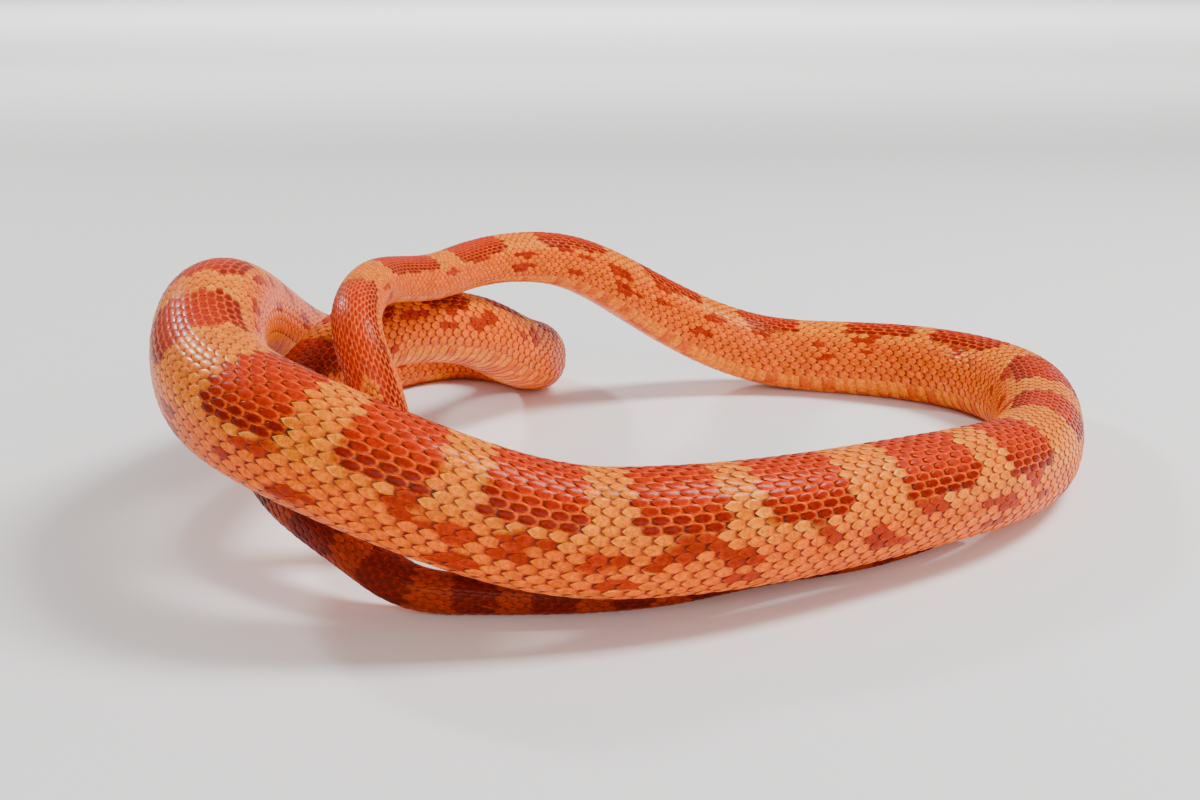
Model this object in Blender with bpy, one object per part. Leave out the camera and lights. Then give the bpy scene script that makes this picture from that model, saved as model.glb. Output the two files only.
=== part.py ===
# Corn snake lying in a loop, a still model at life size.
# Metres, +Z up, the floor at z = 0. The snake is seen from the -Y side:
# a thick coil runs along the front, the neck comes down behind its left end
# and the head lies on the floor inside the loop, pointing right.
# Everything is worked out along one route from the nose to the tip of the tail.

import math

import bpy
import bmesh
import numpy as np
from mathutils import Vector

MM = 0.001

# Driving dimensions, in millimetres.
GAP = 0.3               # clear space between neighbouring lengths of the body
HEAD_END = 33.0         # where the head meets the neck, from the nose
NECK_END = 150.0
TAIL_START = 1175.0     # level with the vent
TAIL_SPLIT = 1275.0
BODY_LENGTHS = 10       # pieces between the neck and the tail
RING_SPACING = 7.0
BODY_SIDES = 18
REST_HEIGHT = 0.95      # centre line above the floor, as a share of the radius
BELLY_POWER = 2.5       # 2 is a round belly, more is flatter
CENTRE_X = 1.5          # the route is drawn from the loop's middle, then shifted
CENTRE_Y = -18.2

# The route: x, y and the height of the belly above the floor, in millimetres.
HEAD_AND_NECK = [
    (-9, -72, 0), (-41, -75, 0), (-54, -78, 5.5), (-65, -82, 20), (-70, -82, 37),
    (-74, -77, 47), (-76, -51, 55), (-73, -30, 54), (-65, -10, 50.5),
]
OVER_TO_THE_BACK = [
    (-52, 24, 48), (-28, 50, 43), (6, 74, 20), (42, 83, 2.5),
]
BACK_AND_RIGHT = [
    (76, 77, 0), (101, 63, 0), (117, 38, 0), (115, -5, 0),
]
FRONT_COIL = [
    (98, -52, 2.4), (72, -83, 5.6), (48, -100, 6.2), (18, -118, 7.0), (-2, -126, 7.8),
    (-19, -130, 9.2),
]
LEFT_ARCH = [
    (-50, -133, 18.5), (-82, -125, 30), (-108, -90, 36), (-114, -60, 42), (-111, 8, 22),
]
TURN_BEHIND = [
    (-105, 45, 8), (-92, 80, 0), (-62, 99, 0), (-40, 86, 0), (-42, 58, 8), (-52, 36, 19),
]
HIND_BODY = [
    (-59, 23, 24), (-84, -14, 29), (-93, -36, 24), (-96, -82, 17), (-85, -101, 12),
    (-71, -115, 7),
]
TAIL = [
    (-59, -121, 1.5), (-44, -122, 0), (3, -116, 0), (24, -105, 0), (50, -94, 0),
    (77, -73, 0),
]
ROUTE = (HEAD_AND_NECK + OVER_TO_THE_BACK + BACK_AND_RIGHT + FRONT_COIL + LEFT_ARCH
         + TURN_BEHIND + HIND_BODY + TAIL)

# Diameter of the body at distances from the nose.
DIAMETERS = [
    (0, 12.4), (33, 13.4), (60, 13.1), (145, 12.9), (200, 14.3), (260, 18.6), (310, 22.3),
    (361, 24.8), (391, 25.4), (511, 26.4), (640, 29.3), (730, 29.2), (870, 27.7), (960, 25.6),
    (1040, 23.4), (1130, 21.4), (1181, 18.6), (1225, 14.2), (1261, 10.8), (1301, 8.4),
    (1347, 5.8), (1377, 4.2), (1405, 2.6), (1430, 1.6),
]

# Which way the back faces where the neck stands upright, by distance.
BACK_DIRECTIONS = [
    (40, (0, 0, 1)), (52, (0.35, -0.30, 0.9)), (66, (0.2, -0.85, 0.5)),
    (82, (-0.1, -1.0, 0.25)), (94, (-0.15, -0.95, 0.45)), (107, (-0.15, -0.75, 0.7)),
    (125, (-0.05, -0.3, 1.0)), (145, (0, 0, 1)),
]

# The head: distance from the nose, half width, top and line of the mouth,
# the heights measured from the chin.
HEAD_SHAPE = [
    (0.0, 1.5, 4.2, 1.9), (0.6, 2.6, 5.0, 1.9), (1.8, 3.6, 5.9, 2.0), (4.0, 4.5, 7.1, 2.2),
    (7.0, 5.3, 8.4, 2.5), (10.0, 6.0, 9.4, 2.8), (13.0, 6.6, 10.2, 3.1),
    (17.0, 7.3, 10.9, 3.4), (21.0, 7.8, 11.4, 3.8), (25.0, 7.6, 11.9, 4.4),
    (29.0, 7.0, 12.3, 5.0), (33.0, 6.7, 12.9, 5.6),
]
MOUTH_CORNER = 23.5     # from the nose
MOUTH_FADE = 2.5        # the line of the mouth runs out over this length
MOUTH_DEPTH = 0.35
LIP_HEIGHT = 0.45
MOUTH_WIDTH = 0.985     # widths below the upper lip, as shares of the half width
LOWER_LIP_WIDTH = 0.965
JAW_WIDTH = 0.95
CROWN_POWER = 2.6
JAW_POWER = 2.3
HEAD_SPACING = 1.5
CROWN_ANGLES = (0, 14, 28, 41, 53, 64, 74, 82)
JAW_ANGLES = (24, 42, 58, 74)

EYE_RADIUS = 2.1
EYE_FROM_NOSE = 9.6
EYE_HEIGHT = 6.0
EYE_BULGE = 0.55        # how far the eye stands out of the cheek
EYE_SIDES = 14
EYE_RINGS = 9
SOCKET_SIDES = 16
SOCKET_RINGS = 10
BROW_HEIGHT = 0.4
BROW_ANGLE = 56.0       # from the crown, in degrees
BROW_LENGTH = 3.2
BROW_SPREAD = 13.0
NOSTRIL_RADIUS = 0.42
NOSTRIL_FROM_NOSE = 2.2
NOSTRIL_HEIGHT = 4.2
NOSTRIL_SIDES = 8
NOSTRIL_RINGS = 6
SHARP_ANGLE = 40.0      # edges sharper than this are shaded sharp
ROUTE_STEPS = 6000      # points that the route is measured by

SKIN_ROUGHNESS = 0.36
EYE_ROUGHNESS = 0.08
SKIN_ORANGE = (0.80, 0.235, 0.045, 1.0)
HEAD_RED = (0.62, 0.115, 0.03, 1.0)
TAIL_RED = (0.50, 0.075, 0.022, 1.0)
EYE_DARK = (0.055, 0.016, 0.010, 1.0)


def clear_scene():
    for obj in list(bpy.data.objects):
        bpy.data.objects.remove(obj, do_unlink=True)


def new_collection(name):
    made = bpy.data.collections.new(name)
    bpy.context.scene.collection.children.link(made)
    return made


def natural_spline(knots, values, at):
    """Values of the natural cubic spline through (knots, values)."""
    knots = np.asarray(knots, float)
    values = np.asarray(values, float)
    count = len(knots)
    step = np.diff(knots)
    matrix = np.eye(count)
    right = np.zeros((count,) + values.shape[1:])
    slope = np.diff(values, axis=0) / step.reshape((-1,) + (1,) * (values.ndim - 1))
    for i in range(1, count - 1):
        matrix[i, i - 1] = step[i - 1]
        matrix[i, i] = 2.0 * (step[i - 1] + step[i])
        matrix[i, i + 1] = step[i]
        right[i] = 6.0 * (slope[i] - slope[i - 1])
    bend = np.linalg.solve(matrix, right)
    at = np.asarray(at, float)
    i = np.clip(np.searchsorted(knots, at) - 1, 0, count - 2)
    shape = (-1,) + (1,) * (values.ndim - 1)
    h = step[i].reshape(shape)
    a = ((knots[i + 1] - at).reshape(shape)) / h
    b = 1.0 - a
    curve = a * values[i] + b * values[i + 1]
    return curve + ((a ** 3 - a) * bend[i] + (b ** 3 - b) * bend[i + 1]) * h * h / 6.0


def radius_at(distance):
    knots = [d for d, _ in DIAMETERS]
    sizes = [size for _, size in DIAMETERS]
    at = np.clip(np.atleast_1d(distance), 0.0, knots[-1])
    return np.squeeze(0.5 * natural_spline(knots, sizes, at))


class Route:
    """The centre line of the snake, measured from the nose."""

    def __init__(self):
        points = np.array(ROUTE, float)
        points[:, 0] -= CENTRE_X
        points[:, 1] -= CENTRE_Y
        chord = np.concatenate([[0.0], np.cumsum(np.linalg.norm(np.diff(points, axis=0), axis=1))])
        points[:, 2] += REST_HEIGHT * radius_at(chord)
        fine = np.linspace(0.0, chord[-1], ROUTE_STEPS)
        self.points = natural_spline(chord, points, fine)
        legs = np.linalg.norm(np.diff(self.points, axis=0), axis=1)
        self.distance = np.concatenate([[0.0], np.cumsum(legs)])
        self.length = self.distance[-1]
        self.tangents = np.gradient(self.points, self.distance, axis=0)

    def frame(self, distance):
        """Centre, backwards direction, side and back direction at a distance."""
        centre = np.array([np.interp(distance, self.distance, self.points[:, k]) for k in range(3)])
        along = np.array([np.interp(distance, self.distance, self.tangents[:, k]) for k in range(3)])
        along /= np.linalg.norm(along)
        marks = [d for d, _ in BACK_DIRECTIONS]
        back = np.array([np.interp(distance, marks, [v[k] for _, v in BACK_DIRECTIONS])
                         for k in range(3)])
        back -= along * np.dot(back, along)
        back /= np.linalg.norm(back)
        side = np.cross(back, along)
        return centre, along, side, back


def signed_power(value, power):
    return math.copysign(abs(value) ** power, value)


def body_ring(route, distance, sides):
    """One ring of the body: a round back over a flatter belly."""
    centre, _, side, back = route.frame(distance)
    radius = float(radius_at(distance))
    ring = []
    for k in range(sides):
        angle = 2.0 * math.pi * k / sides
        across, up = math.sin(angle), math.cos(angle)
        if up < 0.0:
            across = signed_power(across, 2.0 / BELLY_POWER)
            up = signed_power(up, 2.0 / BELLY_POWER)
        ring.append(centre + radius * (across * side + up * back))
    return on_the_floor(ring)


def on_the_floor(ring):
    """Points that would sink into the floor lie flat on it."""
    return [Vector((p[0], p[1], max(p[2], 0.0))) * MM for p in ring]


def brow(distance, angle):
    """The ridge over the eye."""
    along = math.exp(-((distance - EYE_FROM_NOSE) / BROW_LENGTH) ** 2)
    around = math.exp(-((angle - BROW_ANGLE) / BROW_SPREAD) ** 2)
    return BROW_HEIGHT * along * around


def head_values(distance):
    knots = [row[0] for row in HEAD_SHAPE]
    return [float(np.interp(distance, knots, [row[k] for row in HEAD_SHAPE])) for k in (1, 2, 3)]


def head_half(distance):
    """Half of a head ring from the crown to the chin, as (across, height)."""
    half_width, top, mouth = head_values(distance)
    closing = min(max((MOUTH_CORNER - distance) / MOUTH_FADE, 0.0), 1.0)
    rim = 2.0 / CROWN_POWER
    jaw = 2.0 / JAW_POWER
    half = []
    for angle in CROWN_ANGLES:
        a = math.radians(angle)
        swell = 1.0 + brow(distance, angle) / half_width
        half.append((half_width * math.sin(a) ** rim * swell,
                     mouth + (top - mouth) * math.cos(a) ** rim * swell))
    half.append((half_width, mouth + LIP_HEIGHT))
    half.append((half_width * MOUTH_WIDTH - MOUTH_DEPTH * closing, mouth))
    half.append((half_width * LOWER_LIP_WIDTH, mouth - LIP_HEIGHT))
    for angle in JAW_ANGLES:
        a = math.radians(angle)
        half.append((JAW_WIDTH * half_width * math.cos(a) ** jaw,
                     (mouth - LIP_HEIGHT) * (1.0 - math.sin(a) ** jaw)))
    half.append((0.0, 0.0))
    return half


def head_ring(route, distance):
    centre, _, side, back = route.frame(distance)
    chin = centre - back * (REST_HEIGHT * float(radius_at(distance)))
    half = head_half(distance)
    left = [chin + side * x + back * z for x, z in half]
    right = [chin - side * x + back * z for x, z in half[-2:0:-1]]
    return on_the_floor(left + right)


def loft(name, rings, surface, home):
    """A closed body through the rings, its ends flat, put in the home collection."""
    mesh = bpy.data.meshes.new(name)
    shell = bmesh.new()
    rows = [[shell.verts.new(p) for p in ring] for ring in rings]
    count = len(rows[0])
    for first, second in zip(rows, rows[1:]):
        for k in range(count):
            shell.faces.new((first[k], first[(k + 1) % count],
                             second[(k + 1) % count], second[k]))
    shell.faces.new(rows[0][::-1])
    shell.faces.new(rows[-1])
    bmesh.ops.triangulate(shell, faces=shell.faces[:])
    bmesh.ops.recalc_face_normals(shell, faces=shell.faces)
    if shell.calc_volume(signed=True) < 0.0:
        bmesh.ops.reverse_faces(shell, faces=shell.faces)
    shell.to_mesh(mesh)
    shell.free()
    shade_round(mesh)
    mesh.materials.append(surface)
    obj = bpy.data.objects.new(name, mesh)
    home.objects.link(obj)
    return obj


def shade_round(mesh):
    """Smooth shading, with the flat ends and cut edges kept sharp."""
    mesh.shade_smooth()
    mesh.set_sharp_from_angle(angle=math.radians(SHARP_ANGLE))


def material(name, colour, roughness):
    made = bpy.data.materials.new(name)
    made.use_nodes = True
    surface = made.node_tree.nodes["Principled BSDF"]
    surface.inputs["Base Color"].default_value = colour
    surface.inputs["Roughness"].default_value = roughness
    surface.inputs["Metallic"].default_value = 0.0
    return made


def ball(name, centre, radius, sides, rings, home):
    mesh = bpy.data.meshes.new(name)
    shell = bmesh.new()
    bmesh.ops.create_uvsphere(shell, u_segments=sides, v_segments=rings, radius=radius * MM)
    shell.to_mesh(mesh)
    shell.free()
    shade_round(mesh)
    obj = bpy.data.objects.new(name, mesh)
    obj.location = Vector(centre) * MM
    home.objects.link(obj)
    return obj


def cut(target, cutter):
    """Takes the cutter out of the target. The cutter itself is only a guide."""
    cutter.hide_render = True
    cutter.display_type = "WIRE"
    step = target.modifiers.new(cutter.name, "BOOLEAN")
    step.operation = "DIFFERENCE"
    step.solver = "EXACT"
    step.object = cutter


def place_on_head(route, distance, height, hand, standing_out):
    """A point on the side of the head, moved outwards by standing_out."""
    centre, _, side, back = route.frame(distance)
    chin = centre - back * (REST_HEIGHT * float(radius_at(distance)))
    half = head_half(distance)
    heights = [z for _, z in half][::-1]
    across = [x for x, _ in half][::-1]
    x = float(np.interp(height, heights, across)) + standing_out
    return chin + side * (x * hand) + back * height


def spread(start, end, spacing):
    count = max(2, int(round((end - start) / spacing)) + 1)
    return [start + (end - start) * k / (count - 1) for k in range(count)]


def build_head(route, parts, cutters):
    skin = material("head_skin", HEAD_RED, SKIN_ROUGHNESS)
    front = [row[0] for row in HEAD_SHAPE[:4]]
    stations = front + spread(HEAD_SHAPE[4][0], HEAD_END - GAP / 2.0, HEAD_SPACING)
    head = loft("head", [head_ring(route, d) for d in stations], skin, parts)
    for name, hand in (("left", 1.0), ("right", -1.0)):
        middle = place_on_head(route, EYE_FROM_NOSE, EYE_HEIGHT, hand, EYE_BULGE - EYE_RADIUS)
        cut(head, ball("socket_" + name, middle, EYE_RADIUS + GAP, SOCKET_SIDES, SOCKET_RINGS,
                       cutters))
        nostril = place_on_head(route, NOSTRIL_FROM_NOSE, NOSTRIL_HEIGHT, hand, 0.0)
        cut(head, ball("nostril_" + name, nostril, NOSTRIL_RADIUS, NOSTRIL_SIDES, NOSTRIL_RINGS,
                       cutters))
        eye = ball("eye_" + name, middle, EYE_RADIUS, EYE_SIDES, EYE_RINGS, parts)
        eye.data.materials.append(material("eye_" + name + "_surface", EYE_DARK, EYE_ROUGHNESS))


def build_length(route, name, start, end, colour, parts):
    stations = spread(start + GAP / 2.0, end - GAP / 2.0, RING_SPACING)
    rings = [body_ring(route, d, BODY_SIDES) for d in stations]
    loft(name, rings, material(name + "_skin", colour, SKIN_ROUGHNESS), parts)


def build():
    clear_scene()
    parts = new_collection("corn_snake")
    cutters = new_collection("cutters")
    route = Route()
    build_head(route, parts, cutters)
    build_length(route, "neck", HEAD_END, NECK_END, SKIN_ORANGE, parts)
    piece = (TAIL_START - NECK_END) / BODY_LENGTHS
    for k in range(BODY_LENGTHS):
        start = NECK_END + piece * k
        build_length(route, "body_%02d" % (k + 1), start, start + piece, SKIN_ORANGE, parts)
    build_length(route, "tail_base", TAIL_START, TAIL_SPLIT, TAIL_RED, parts)
    build_length(route, "tail_end", TAIL_SPLIT, route.length, TAIL_RED, parts)


build()
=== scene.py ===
# Corn snake lying in a loop: the looks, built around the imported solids.
# Metres, +Z up, the floor at z = 0, seen from the -Y side.
# Sizes along the snake are in millimetres from the nose, as in the solids' own
# source, and become metres where a mesh is made.

import math

import bpy
import numpy as np
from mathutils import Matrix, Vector
from mathutils.kdtree import KDTree


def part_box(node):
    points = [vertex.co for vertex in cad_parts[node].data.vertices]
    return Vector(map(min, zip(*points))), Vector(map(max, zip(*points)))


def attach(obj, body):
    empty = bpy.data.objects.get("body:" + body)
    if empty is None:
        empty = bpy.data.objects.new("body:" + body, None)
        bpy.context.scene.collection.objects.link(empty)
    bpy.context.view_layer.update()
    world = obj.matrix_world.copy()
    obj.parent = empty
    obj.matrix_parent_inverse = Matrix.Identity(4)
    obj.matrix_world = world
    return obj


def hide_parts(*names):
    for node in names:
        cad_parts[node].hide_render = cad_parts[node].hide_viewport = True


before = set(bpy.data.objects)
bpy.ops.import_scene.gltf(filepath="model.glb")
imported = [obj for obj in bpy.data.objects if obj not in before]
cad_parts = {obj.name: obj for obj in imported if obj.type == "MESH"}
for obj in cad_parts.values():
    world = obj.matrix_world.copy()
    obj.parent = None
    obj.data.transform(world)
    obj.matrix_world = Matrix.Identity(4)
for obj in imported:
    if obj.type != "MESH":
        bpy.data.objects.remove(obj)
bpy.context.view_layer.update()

MM = 0.001

# The route of the solids: x, y and the height of the belly above the floor.
HEAD_AND_NECK = [
    (-9, -72, 0), (-41, -75, 0), (-54, -78, 5.5), (-65, -82, 20), (-70, -82, 37),
    (-74, -77, 47), (-76, -51, 55), (-73, -30, 54), (-65, -10, 50.5),
]
OVER_TO_THE_BACK = [
    (-52, 24, 48), (-28, 50, 43), (6, 74, 20), (42, 83, 2.5),
]
BACK_AND_RIGHT = [
    (76, 77, 0), (101, 63, 0), (117, 38, 0), (115, -5, 0),
]
FRONT_COIL = [
    (98, -52, 2.4), (72, -83, 5.6), (48, -100, 6.2), (18, -118, 7.0), (-2, -126, 7.8),
    (-19, -130, 9.2),
]
LEFT_ARCH = [
    (-50, -133, 18.5), (-82, -125, 30), (-108, -90, 36), (-114, -60, 42), (-111, 8, 22),
]
TURN_BEHIND = [
    (-105, 45, 8), (-92, 80, 0), (-62, 99, 0), (-40, 86, 0), (-42, 58, 8), (-52, 36, 19),
]
HIND_BODY = [
    (-59, 23, 24), (-84, -14, 29), (-93, -36, 24), (-96, -82, 17), (-85, -101, 12),
    (-71, -115, 7),
]
TAIL = [
    (-59, -121, 1.5), (-44, -122, 0), (3, -116, 0), (24, -105, 0), (50, -94, 0),
    (77, -73, 0),
]
ROUTE = (HEAD_AND_NECK + OVER_TO_THE_BACK + BACK_AND_RIGHT + FRONT_COIL + LEFT_ARCH
         + TURN_BEHIND + HIND_BODY + TAIL)
ROUTE_STEPS = 6000        # points that the route is measured by
CENTRE_X = 1.5
CENTRE_Y = -18.2
REST_HEIGHT = 0.95        # centre line above the floor, as a share of the radius
BELLY_POWER = 2.5         # 2 is a round belly, more is flatter
VENT = 1175.0             # the tail begins here, and its plates are paired
DIAMETERS = [
    (0, 12.4), (33, 13.4), (60, 13.1), (145, 12.9), (200, 14.3), (260, 18.6), (310, 22.3),
    (361, 24.8), (391, 25.4), (511, 26.4), (640, 29.3), (730, 29.2), (870, 27.7), (960, 25.6),
    (1040, 23.4), (1130, 21.4), (1181, 18.6), (1225, 14.2), (1261, 10.8), (1301, 8.4),
    (1347, 5.8), (1377, 4.2), (1405, 2.6), (1430, 1.6),
]

# Which way the back faces where the neck stands upright, by distance.
BACK_DIRECTIONS = [
    (40, (0, 0, 1)), (52, (0.35, -0.30, 0.9)), (66, (0.2, -0.85, 0.5)),
    (82, (-0.1, -1.0, 0.25)), (94, (-0.15, -0.95, 0.45)), (107, (-0.15, -0.75, 0.7)),
    (125, (-0.05, -0.3, 1.0)), (145, (0, 0, 1)),
]

# The head: distance from the nose, half width, top and line of the mouth.
HEAD_SHAPE = [
    (0.0, 1.5, 4.2, 1.9), (0.6, 2.6, 5.0, 1.9), (1.8, 3.6, 5.9, 2.0), (4.0, 4.5, 7.1, 2.2),
    (7.0, 5.3, 8.4, 2.5), (10.0, 6.0, 9.4, 2.8), (13.0, 6.6, 10.2, 3.1),
    (17.0, 7.3, 10.9, 3.4), (21.0, 7.8, 11.4, 3.8), (25.0, 7.6, 11.9, 4.4),
    (29.0, 7.0, 12.3, 5.0), (33.0, 6.7, 12.9, 5.6),
]
HEAD_END = 33.0
BLEND_START = 28.0        # the head's rings pass into the neck's between these
BLEND_END = 36.0
SNOUT_ROUNDING = 1.2
CROWN_POWER = 2.6
JAW_POWER = 2.3
BARE_END = 40.0           # the skin further back is all under scales
MOUTH_CORNER = 23.5
MOUTH_FADE = 2.5
LIP_GROOVE = 0.42
LOWER_LIP_WIDTH = 0.965
BROW_HEIGHT = 0.4
BROW_ANGLE = 56.0
BROW_LENGTH = 3.2
BROW_SPREAD = 13.0
EYE_FROM_NOSE = 9.6
NOSTRIL_FROM_NOSE = 2.2
NOSTRIL_HEIGHT = 4.2
NOSTRIL_DEPTH = 0.55
NOSTRIL_WIDTH = 0.36
EYE_OUTWARD = 0.96        # the way the eye looks
EYE_UPWARD = 0.20
EYE_RINGS = 40
EYE_SIDES = 64
EYE_SEAT = 0.55           # how deep the ball sits, for rings round the eye
LID_RIDGE = 1.95
LID_GROOVE = 1.38

# The coat: rows of scales, their length along the body and their relief.
SIDE_ROWS = 14            # rows on each side of the middle one
BELLY_EDGE = 0.71         # share of the half girth where the belly plates begin
SCALE_PITCH = [
    (15, 1.9), (33, 2.15), (150, 2.5), (250, 3.2), (345, 4.1), (497, 4.35), (637, 4.46),
    (860, 4.3), (1075, 4.0), (1175, 3.6), (1270, 2.9), (1350, 2.4), (1415, 2.0),
]
FULL_PITCH = 4.46         # heights below are for a scale of this length
ROW_ENDS = {              # where rows on both sides end, as the tail thins
    5: 1060, 6: 1060, 9: 1175, 10: 1175, 3: 1232, 4: 1232, 11: 1290, 12: 1290,
    7: 1348, 8: 1348, 1: 1392, 2: 1392,
}
ROW_FADE = 16.0
THINNEST_ROW = 0.3        # a row stops when it is thinner than this share
SKIN_DEPTH = 0.62         # skin below the outer surface
SCALE_WIDTH = 0.61        # half width of a scale, in rows
ROOT_DEPTH = 0.44         # root of a scale below the outer surface
TIP_DEPTH = 0.15
DOME = 0.15
EDGE_DROP = 0.20
EDGE = 1.2                # marks the points of a scale's turned down edge
PATTERN_BLUR = 0.25       # how far a marking's edge may cut through a scale
ROLL = [                  # degrees that the coat is turned round the body
    (0, 0), (200, 0), (361, 20), (770, 20), (871, 14), (1050, -6), (1110, -18),
    (1181, -24), (1430, -34),
]
FIRST_COLUMN = 14.0       # columns of scales are counted from here
LAST_COLUMN = 0.3         # and end this many pitches before the tip

# Where the small scales begin, by share: behind the crown, the lips and the chin.
COAT_START = [
    (0.0, 21.4), (0.12, 20.8), (0.3, 20.2), (0.45, 21.2), (0.60, 23.6), (0.78, 22.0),
    (1.0, 15.0),
]

# One scale lying flat: its tip, the points of one side of its outline, along in
# pitches and across in half widths, its middle and the rings between.
SCALE_TIP = 0.58
SCALE_SIDE = [
    (0.475, 0.30), (0.335, 0.66), (0.15, 0.95), (-0.10, 1.0), (-0.45, 0.94), (-0.70, 0.48),
]
SCALE_MIDDLE = 0.06
SCALE_RINGS = [0.34, 0.50, 0.64, 0.84, 1.0, EDGE]
SCALE_ROOT = -0.72        # from root to tip a scale rises over this reach
SCALE_REACH = 1.35

# How far along a scale the scales in front cover it, by the place across it.
HIDDEN_EDGE = [
    (0.0, -0.44), (0.3, -0.49), (0.66, -0.62), (0.70, -0.42), (0.75, -0.31), (1.0, -0.14),
]

# The belly plates, from root to tip, and their points across.
PLATE_ALONG = [-0.72, -0.35, 0.1, 0.42, 0.56, 0.62, 0.60]
PLATE_LIFT = [0.0, 0.06, 0.09, 0.08, 0.04, 0.0, -EDGE_DROP]
PLATE_STEPS = 21
PLATE_OVERLAP = 0.012
PLATE_CHECKS = 0.38       # share of the belly's quarters that are darker

# Where one piece of the coat ends and the next begins.
PIECE_LIMITS = [0.0, 60.0] + [150.0 + 102.5 * k for k in range(11)] + [1275.0, 1500.0]
PATCH_ALONG = 0.0022      # size of a scale's patch on the map for baking
PATCH_ACROSS = 0.0015
PLATE_PATCH = 0.0005
MAP_MARGIN = 0.03

# Saddles on the back: middle and half length, by distance from the nose.
SADDLES = [
    (97, 17), (150, 16), (196, 14), (239, 13), (282, 13), (325, 12.5), (367, 11.5),
    (401, 14), (445, 14), (487, 11), (534, 11), (569, 12), (609, 11.2), (639.5, 9.5),
    (671.3, 10.8), (702.5, 9.2), (732, 9.5), (776, 11), (810, 10.5), (842, 10.5), (874, 10.5),
    (907, 10.5), (940, 10.5), (973, 10.5), (1006, 10.5), (1039, 10), (1071, 10), (1103, 10),
    (1135, 9.5), (1162, 8.5), (1188, 6.5), (1215, 8), (1240, 6.5), (1261, 5.5), (1281, 5),
    (1299, 4.8), (1317, 4.5), (1335, 4.2), (1352, 4), (1369, 3.6), (1385, 3.2), (1400, 2.8),
]
SADDLE_MIDDLES, SADDLE_HALVES = np.array(SADDLES).T
SADDLE_WIDTH = [          # half width as a share of the half girth, by distance
    (80, 0.40), (120, 0.40), (200, 0.34), (360, 0.31), (1070, 0.31), (1170, 0.5),
    (1215, 0.62), (1430, 0.62),
]

# Both arms of the nape's mark: its edges as shares from the back, by distance.
NAPE_INNER = [
    (14.0, 0.06), (24.0, 0.11), (60.0, 0.13), (80.0, 0.13), (84.0, 0.10), (88.0, -0.1),
]
NAPE_OUTER = [(8.0, 0.12), (12.0, 0.22), (24.0, 0.32), (60.0, 0.38), (86.0, 0.40)]
NAPE_END = 92.0
NECK_STRETCH = (60.0, 75.0, 125.0, 140.0)   # the neck shows skin between its scales
LAST_BLOTCH = 1160.0
SHADED_TAIL_COLOURS = (1125.0, 1200.0)             # the tail's darker colours come in here, partly painted shade for the tail under the coil
HEAD_STRIPE = [(8.0, 0.66), (12.5, 0.68), (24.0, 0.86), (33.0, 1.0)]
STRIPE_WIDTH = 0.11

# Blotches on the flank: under a saddle or a gap, share from the back, half length in
# millimetres, half height as a share, stray, and how many of them there are.
BLOTCHES = [
    ("gap", 0.43, 4.8, 0.045, 0.4, 0.85), ("gap", 0.54, 4.6, 0.040, 0.6, 0.8),
    ("saddle", 0.36, 4.2, 0.055, 0.5, 0.8), ("saddle", 0.50, 3.4, 0.032, 0.8, 0.55),
    ("saddle", 0.63, 3.0, 0.028, 1.0, 0.4),
]

SADDLE_RED = (0.52, 0.021, 0.000)
SADDLE_DARK = (0.20, 0.005, 0.001)
# Painted shadow that the scale tips cast on the saddles' scales behind them.
SADDLE_PAINTED_SHADOW = (0.045, 0.004, 0.002)
NECK_DASH = (0.90, 0.150, 0.030)
SADDLE_RIM = (1.00, 0.100, 0.001)
SADDLE_NET = (0.95, 0.072, 0.001)
GROUND = (1.00, 0.205, 0.000)
GROUND_RIM = (1.00, 0.250, 0.006)
FLANK = (0.97, 0.146, 0.000)
FLANK_RIM = (0.99, 0.162, 0.001)
BLOTCH = (0.43, 0.022, 0.001)
BLOTCH_RIM = (0.55, 0.037, 0.001)
BELLY = (1.00, 0.230, 0.008)
BELLY_CHECK = (0.75, 0.080, 0.008)
CREAM = (1.00, 0.420, 0.060)
# Near black: painted shade in crevices, grooves, the mouth, nostrils and round the eyes, and
# also the real black at saddle and blotch borders.
SHADE_AND_BLACK_EDGE = (0.030, 0.013, 0.018)
# Painted shade for the flank: dark lines at the scales' covered edges and on their cut edges.
FLANK_PAINTED_SHADE = (0.10, 0.000, 0.022)
UNDER_SKIN = (0.40, 0.030, 0.004)
HEAD_ORANGE = (0.90, 0.100, 0.003)
LIP_CREAM = (0.96, 0.320, 0.060)
# Darker copies of the body's colours: painted shade for the tail lying under the coil, over its
# own red and orange bands.
SHADED_TAIL_RED = (0.140, 0.006, 0.001)
SHADED_TAIL_RIM = (0.24, 0.011, 0.001)
SHADED_TAIL_ORANGE = (0.34, 0.028, 0.002)

rng = np.random.default_rng(11)


def natural_spline(knots, values, at):
    """Values of the natural cubic spline through (knots, values)."""
    knots = np.asarray(knots, float)
    values = np.asarray(values, float)
    count = len(knots)
    step = np.diff(knots)
    matrix = np.eye(count)
    right = np.zeros((count,) + values.shape[1:])
    shape = (-1,) + (1,) * (values.ndim - 1)
    slope = np.diff(values, axis=0) / step.reshape(shape)
    for i in range(1, count - 1):
        matrix[i, i - 1] = step[i - 1]
        matrix[i, i] = 2.0 * (step[i - 1] + step[i])
        matrix[i, i + 1] = step[i]
        right[i] = 6.0 * (slope[i] - slope[i - 1])
    bend = np.linalg.solve(matrix, right)
    at = np.asarray(at, float)
    i = np.clip(np.searchsorted(knots, at) - 1, 0, count - 2)
    h = step[i].reshape(shape)
    a = ((knots[i + 1] - at).reshape(shape)) / h
    b = 1.0 - a
    curve = a * values[i] + b * values[i + 1]
    return curve + ((a ** 3 - a) * bend[i] + (b ** 3 - b) * bend[i + 1]) * h * h / 6.0


def radius_at(distance):
    knots, sizes = zip(*DIAMETERS)
    at = np.clip(np.atleast_1d(distance), 0.0, knots[-1])
    return np.squeeze(0.5 * natural_spline(knots, sizes, at))


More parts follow.
